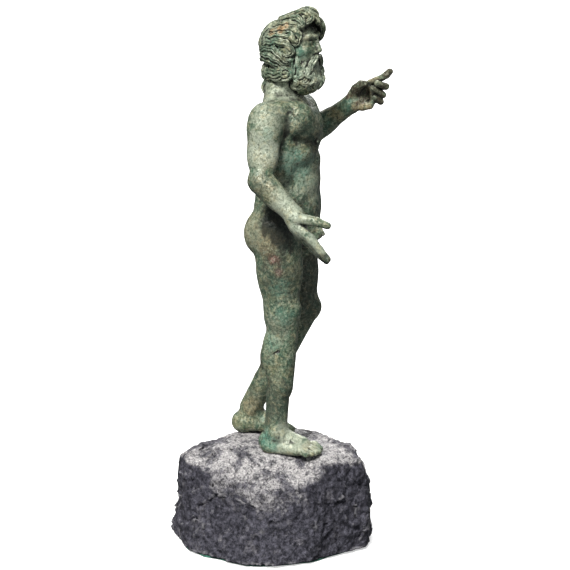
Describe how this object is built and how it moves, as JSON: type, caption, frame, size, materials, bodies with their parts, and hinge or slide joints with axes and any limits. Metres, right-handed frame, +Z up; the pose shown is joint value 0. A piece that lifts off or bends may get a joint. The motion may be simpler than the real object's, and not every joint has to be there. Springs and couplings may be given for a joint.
{
  "type": "bronze god statuette",
  "caption": "Standing bearded god in patinated cast bronze, one arm lowered and one hand raised, on a rough stone block with felt beneath.",
  "frame": {"origin": "middle of the underside, on the felt", "axes": "+Z up; the figure faces -Y and its right side is towards -X"},
  "size_m": [0.1004, 0.1059, 0.2784],
  "materials": {
    "bronze": "matt green patina with darker hollows, ochre crust and small corrosion pits",
    "stone": "rough broken stone, dark grey with pale crystalline patches",
    "felt": "matt felt"
  },
  "bodies": {
    "root": {"bronze_figure": "bronze", "stone_base": "stone", "felt_pad": "felt"}
  },
  "joints": []
}
